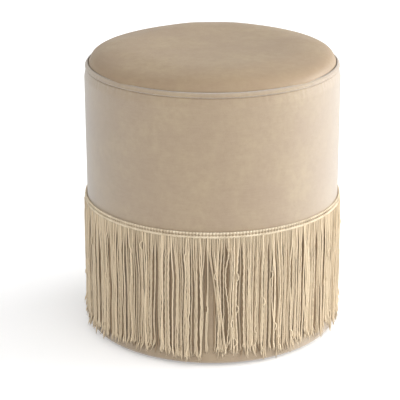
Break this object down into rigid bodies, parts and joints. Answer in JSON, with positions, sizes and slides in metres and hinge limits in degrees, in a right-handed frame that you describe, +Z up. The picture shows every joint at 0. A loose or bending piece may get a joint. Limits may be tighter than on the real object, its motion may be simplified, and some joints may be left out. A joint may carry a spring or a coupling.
{
  "type": "tuffet",
  "caption": "Round upholstered tuffet: a low drum in pale velvet with a soft crowned seat, a topstitched top seam and a deep yarn fringe under a flat braid.",
  "frame": {"origin": "centre of the base, on the floor that the glides stand on", "axes": "+Z up through the middle of the seat; the drum is round, so -Y is called the front, and the butt joint of the inner shell is at +Y"},
  "size_m": [0.3562, 0.3562, 0.4],
  "materials": {
    "velvet": "short cut-pile velvet with a soft directional sheen",
    "yarn": "loosely twisted matt cotton and viscose yarn, cut ends",
    "braid": "flat chain-stitched braid in fine cream yarn",
    "foam": "open-cell polyurethane foam",
    "lining": "thin spun-bonded non-woven cloth",
    "fibreboard": "plain sanded fibreboard",
    "plywood": "plain sanded plywood",
    "pine": "planed softwood",
    "hardboard": "smooth hardboard",
    "steel_wire": "plain drawn wire",
    "staple_wire": "galvanised flat wire",
    "glide_plastic": "plain moulded polyethylene"
  },
  "bodies": {
    "root": {"base_board": "fibreboard", "top_board": "plywood", "post_1": "pine", "post_2": "pine", "post_3": "pine", "post_4": "pine", "side_shell": "hardboard", "base_brads": "steel_wire", "top_brads": "steel_wire", "side_foam": "foam", "seat_foam": "foam", "top_panel": "velvet", "side_panel": "velvet", "cover_staples": "staple_wire", "fringe_header": "braid", "fringe": "yarn", "dust_cover": "lining", "dust_cover_staples": "staple_wire", "glides": "glide_plastic", "glide_pins": "steel_wire"}
  },
  "joints": []
}
